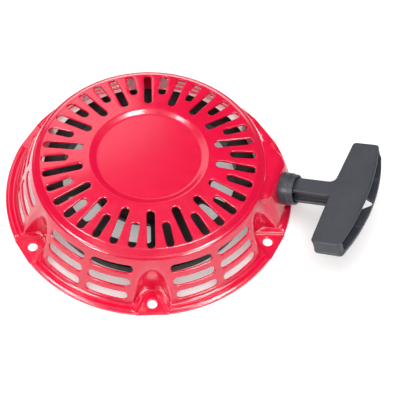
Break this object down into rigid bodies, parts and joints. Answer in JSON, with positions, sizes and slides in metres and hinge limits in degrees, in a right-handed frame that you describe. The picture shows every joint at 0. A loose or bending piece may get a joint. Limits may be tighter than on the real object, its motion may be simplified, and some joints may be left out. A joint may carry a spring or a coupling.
{
  "type": "recoil starter",
  "caption": "Recoil starter for a small engine: vented red steel case, rope reel with recoil spring and pawls inside, and a T grip on a pull rope.",
  "frame": {"origin": "centre of the mounting flange's bottom plane", "axes": "+Z out through the vented top, -Y through one mounting hole, the pull handle towards +X and a little -Y"},
  "size_m": [0.2851, 0.22, 0.0503],
  "materials": {
    "case_enamel": "gloss enamel",
    "zinc_steel": "zinc plated",
    "spring_steel": "tempered, oiled",
    "pawl_steel": "hardened, satin",
    "reel_plastic": "moulded, fine texture",
    "grip_plastic": "moulded, satin",
    "rope_braid": "braided nylon"
  },
  "bodies": {
    "case": {"starter_case": "case_enamel", "center_post": "zinc_steel", "spring_hook": "zinc_steel", "rope_guide": "grip_plastic", "guide_clip": "spring_steel", "thrust_washer": "zinc_steel", "screw_washer": "zinc_steel", "center_screw": "zinc_steel"},
    "reel": {"reel": "reel_plastic", "recoil_spring": "spring_steel", "rope_coil": "rope_braid", "pawl_spring_a": "spring_steel", "pawl_spring_b": "spring_steel"},
    "pawl_a": {"pawl_a": "pawl_steel"},
    "pawl_b": {"pawl_b": "pawl_steel"},
    "ratchet_guide": {"ratchet_guide": "reel_plastic", "friction_spring": "spring_steel"},
    "handle": {"handle_grip": "grip_plastic", "knot_washer": "zinc_steel", "rope_lead": "rope_braid"}
  },
  "joints": [
    {"name": "handle_pull", "type": "slide", "parent": "case", "child": "handle", "axis": [0.8636, -0.3918, 0.3173], "range_m": [0, 1.30164], "deforming": ["rope_lead"]},
    {"name": "reel_spin", "type": "hinge", "parent": "case", "child": "reel", "pos_m": [0, 0, 0.02], "axis": [0, 0, -1], "range_deg": [0, 1009.09], "stiffness_Nm_per_rad": 0.1, "springref_deg": -458.37},
    {"name": "ratchet_turn", "type": "hinge", "parent": "reel", "child": "ratchet_guide", "pos_m": [0, 0, 0.01], "axis": [0, 0, 1], "range_deg": [0, 30], "stiffness_Nm_per_rad": 0.004, "springref_deg": -11.46},
    {"name": "pawl_a_swing", "type": "hinge", "parent": "reel", "child": "pawl_a", "pos_m": [0.02255, 0.00821, 0.015], "axis": [0, 0, 1], "range_deg": [0, 35.1]},
    {"name": "pawl_b_swing", "type": "hinge", "parent": "reel", "child": "pawl_b", "pos_m": [-0.02255, -0.00821, 0.015], "axis": [0, 0, 1], "range_deg": [0, 35.1]}
  ],
  "couplings": [
    {"joint": "handle_pull", "follows": "reel_spin", "m_per_rad": 0.07385},
    {"joint": "pawl_a_swing", "follows": "ratchet_turn", "ratio": 1.1667},
    {"joint": "pawl_b_swing", "follows": "ratchet_turn", "ratio": 1.1667}
  ]
}
